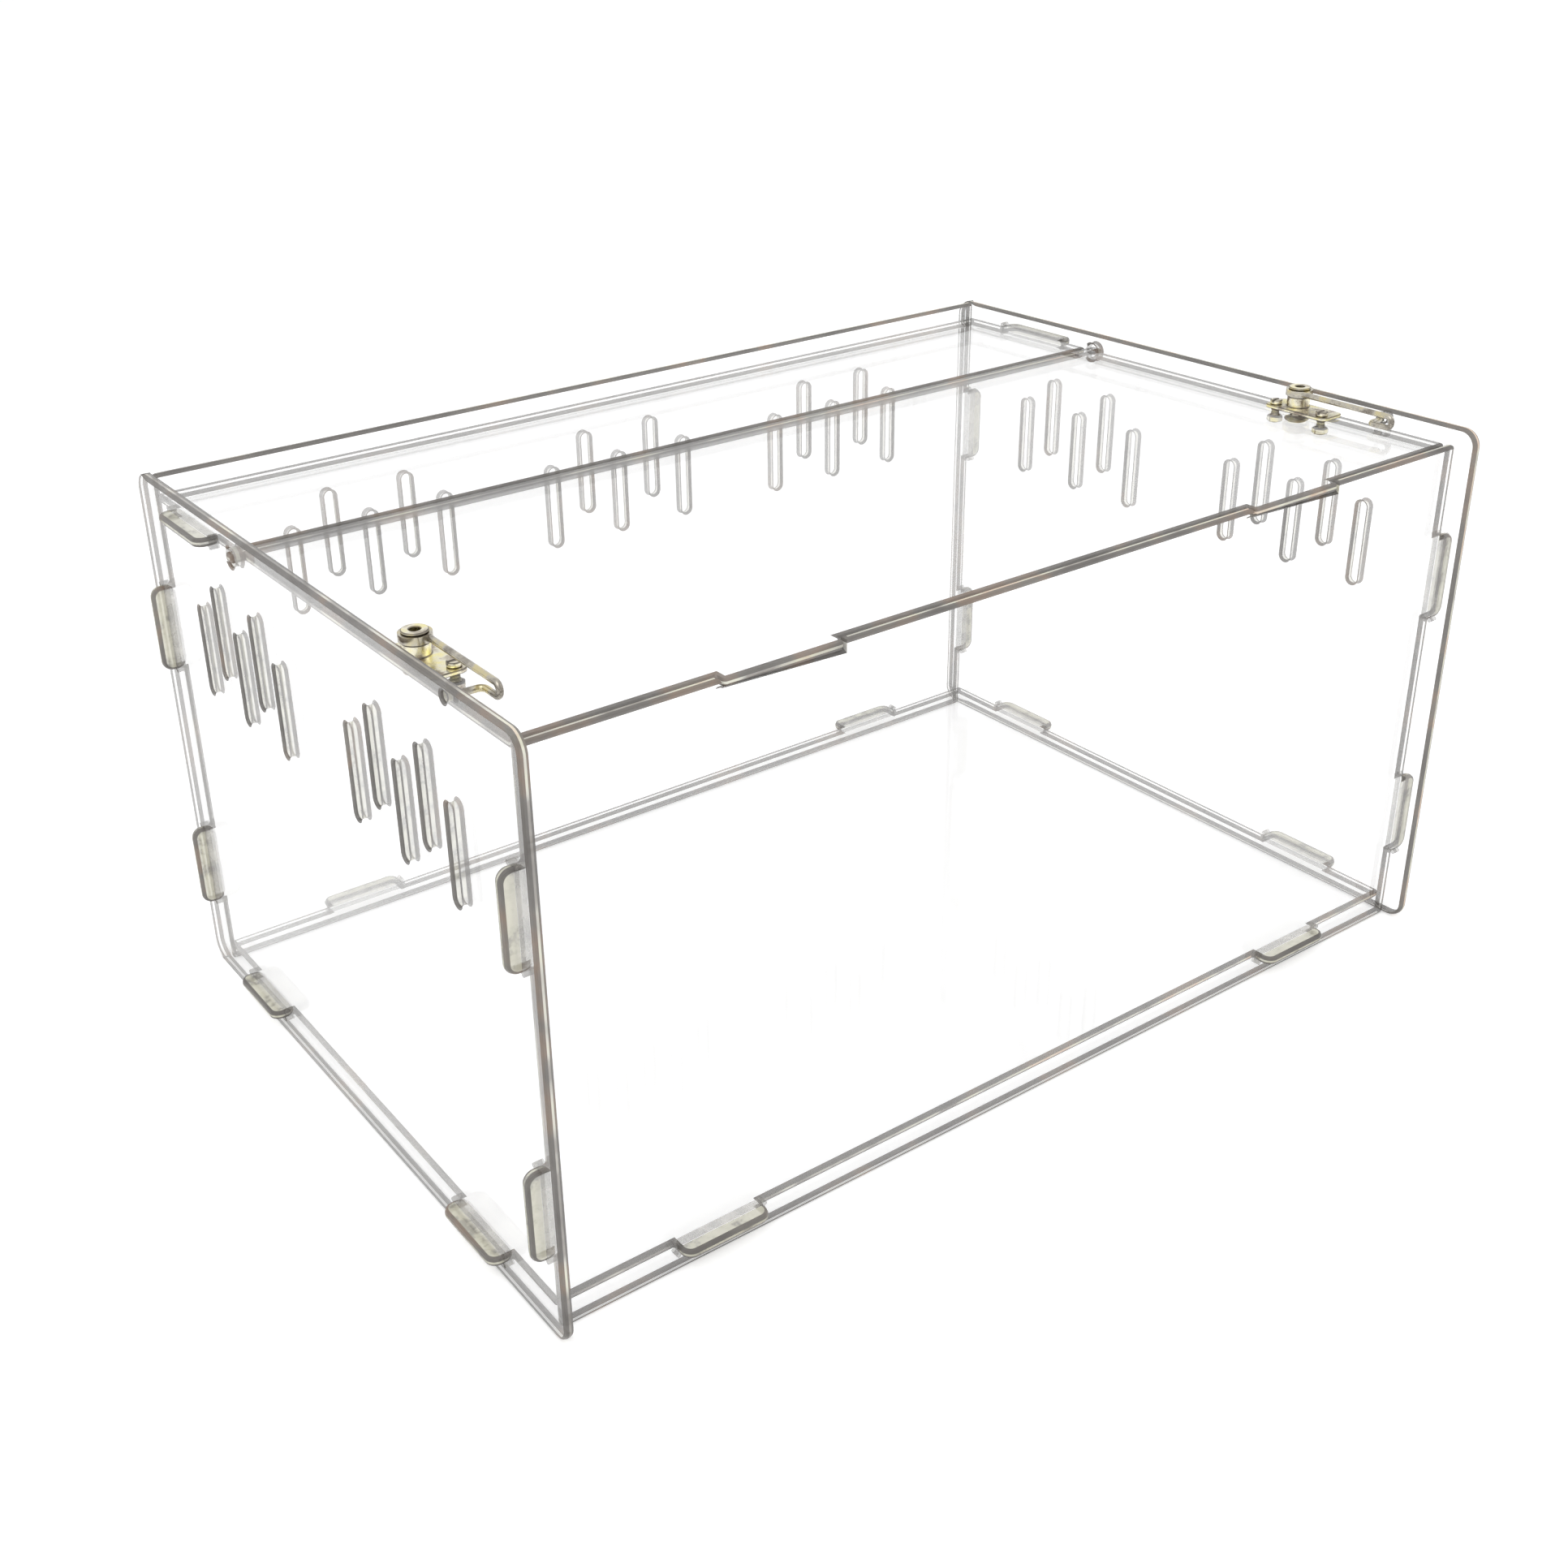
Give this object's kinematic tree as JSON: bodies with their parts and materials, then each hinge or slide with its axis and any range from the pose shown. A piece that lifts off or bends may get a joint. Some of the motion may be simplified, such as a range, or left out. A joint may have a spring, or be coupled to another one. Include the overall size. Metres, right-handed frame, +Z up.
{
  "type": "acrylic small-pet cage",
  "caption": "Clear acrylic box cage cut from flat sheet with tab and slot joints, vent slots, a flip-up lid and a swing hook latch at each front corner of the lid.",
  "frame": {"origin": "on the ground under the middle of the box: midway between the outer faces of the side panels and midway along the side panels' depth", "axes": "+X to the right as seen from the front, +Y from the front panel to the back panel, +Z up"},
  "size_m": [0.307, 0.207, 0.1557],
  "materials": {
    "clear_acrylic": "clear cast acrylic sheet, polished faces, laser-cut edges",
    "nickel_plated_wire": "bright nickel plate on drawn steel wire",
    "nickel_plated_steel": "bright nickel plate",
    "nylon_washer": "natural nylon"
  },
  "bodies": {
    "box": {"left_side_panel": "clear_acrylic", "right_side_panel": "clear_acrylic", "front_panel": "clear_acrylic", "back_panel": "clear_acrylic", "bottom_panel": "clear_acrylic", "rear_top_strip": "clear_acrylic"},
    "lid": {"lid_panel": "clear_acrylic", "left_latch_base": "nickel_plated_steel", "left_latch_rivet": "nickel_plated_steel", "left_latch_back_washer": "nickel_plated_steel", "left_latch_screws": "nickel_plated_steel", "left_latch_nuts": "nickel_plated_steel", "left_latch_friction_washer": "nylon_washer", "right_latch_base": "nickel_plated_steel", "right_latch_rivet": "nickel_plated_steel", "right_latch_back_washer": "nickel_plated_steel", "right_latch_screws": "nickel_plated_steel", "right_latch_nuts": "nickel_plated_steel", "right_latch_friction_washer": "nylon_washer"},
    "left_latch": {"left_latch_arm": "nickel_plated_wire"},
    "right_latch": {"right_latch_arm": "nickel_plated_wire"}
  },
  "joints": [
    {"name": "lid_hinge", "type": "hinge", "parent": "box", "child": "lid", "pos_m": [0, 0.039, 0.14775], "axis": [-1, 0, 0], "range_deg": [0, 125]},
    {"name": "left_latch_swing", "type": "hinge", "parent": "lid", "child": "left_latch", "pos_m": [-0.1429, -0.0479, 0.15415], "axis": [0, 0, -1], "range_deg": [-25, 7.9]},
    {"name": "right_latch_swing", "type": "hinge", "parent": "lid", "child": "right_latch", "pos_m": [0.1429, -0.0479, 0.15415], "axis": [0, 0, 1], "range_deg": [-25, 7.9]}
  ]
}
